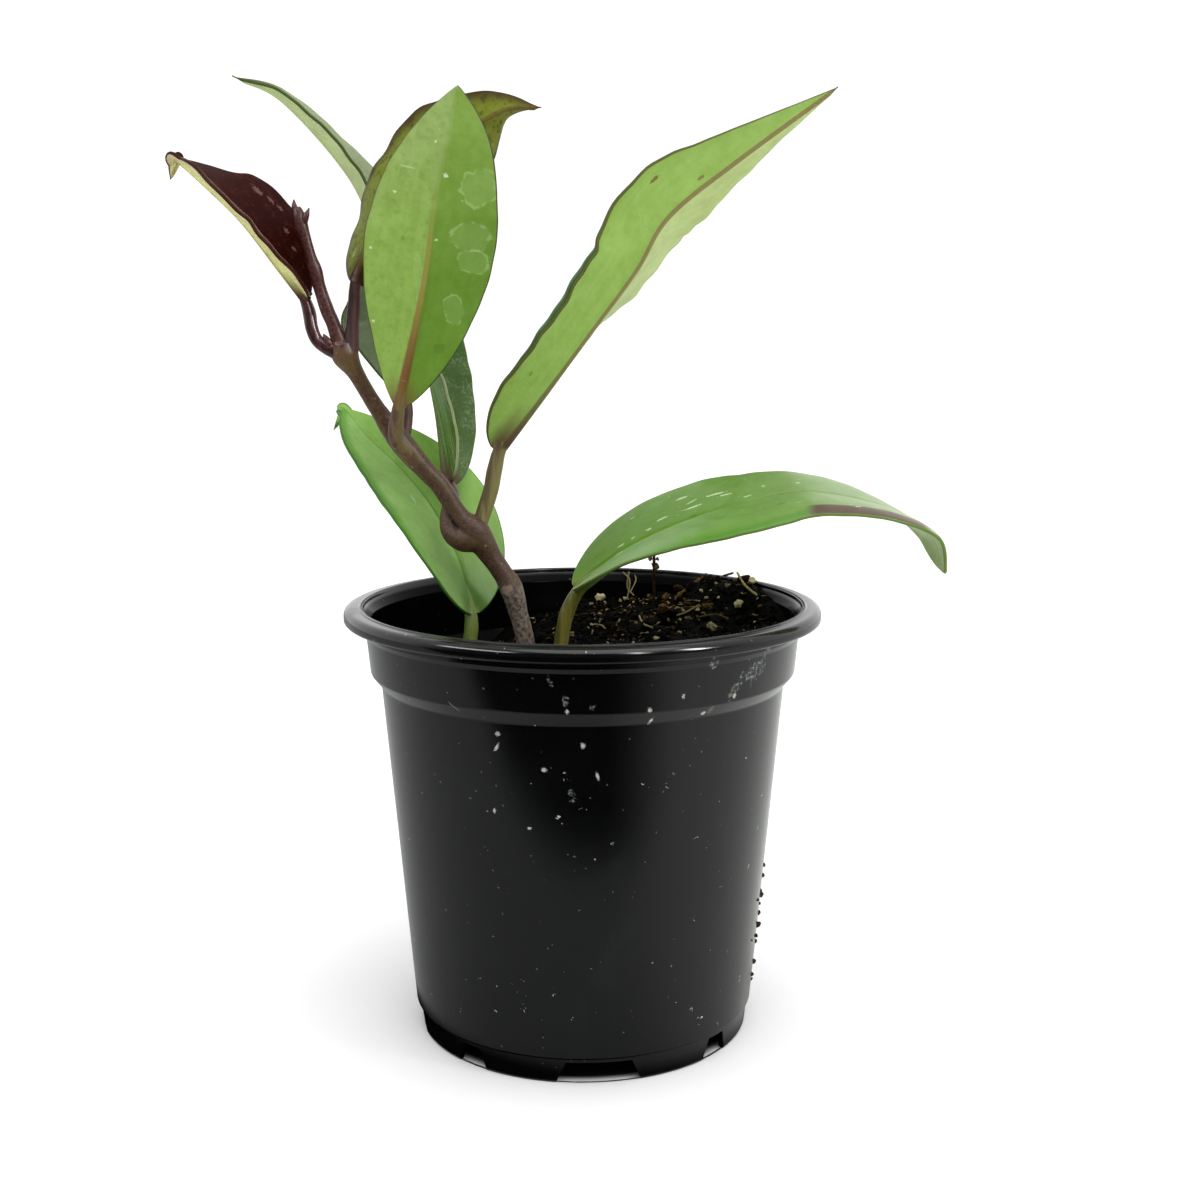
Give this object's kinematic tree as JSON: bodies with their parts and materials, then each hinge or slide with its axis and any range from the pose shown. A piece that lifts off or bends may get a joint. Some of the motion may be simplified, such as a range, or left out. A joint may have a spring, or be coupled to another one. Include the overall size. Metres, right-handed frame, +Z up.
{
  "type": "potted wax plant",
  "caption": "Young climbing wax plant with pointed waxy leaves on a leaning stem, in a round black nursery pot of potting mix.",
  "frame": {"origin": "middle of the whole plant's box, on the plane that the pot's feet stand on; the pot's axis is at x = +3.7 mm", "axes": "+Z up, +X to the viewer's right and +Y away from the viewer when the plant is seen as pictured"},
  "size_m": [0.1654, 0.105, 0.2117],
  "materials": {
    "pot_plastic": "satin black moulded plastic with dust and dried water marks",
    "potting_mix": "damp dark peat and bark with perlite",
    "stem": "purple brown, finely speckled, slightly glossy",
    "leaf_fresh_green": "waxy, light green underside, green upper side with silver flecks",
    "leaf_deep_green": "waxy dark green",
    "leaf_olive": "waxy olive brown with a dark red margin",
    "leaf_maroon": "glossy dark maroon"
  },
  "bodies": {
    "root": {"pot": "pot_plastic", "potting_mix": "potting_mix", "main_stem": "stem", "leaf_low_left": "leaf_fresh_green", "leaf_low_right": "leaf_fresh_green", "leaf_middle_left": "leaf_deep_green", "leaf_middle_right": "leaf_fresh_green", "leaf_upper_front": "leaf_fresh_green", "leaf_upper_back": "leaf_deep_green", "leaf_top_right": "leaf_olive", "leaf_top_left": "leaf_maroon"}
  },
  "joints": []
}
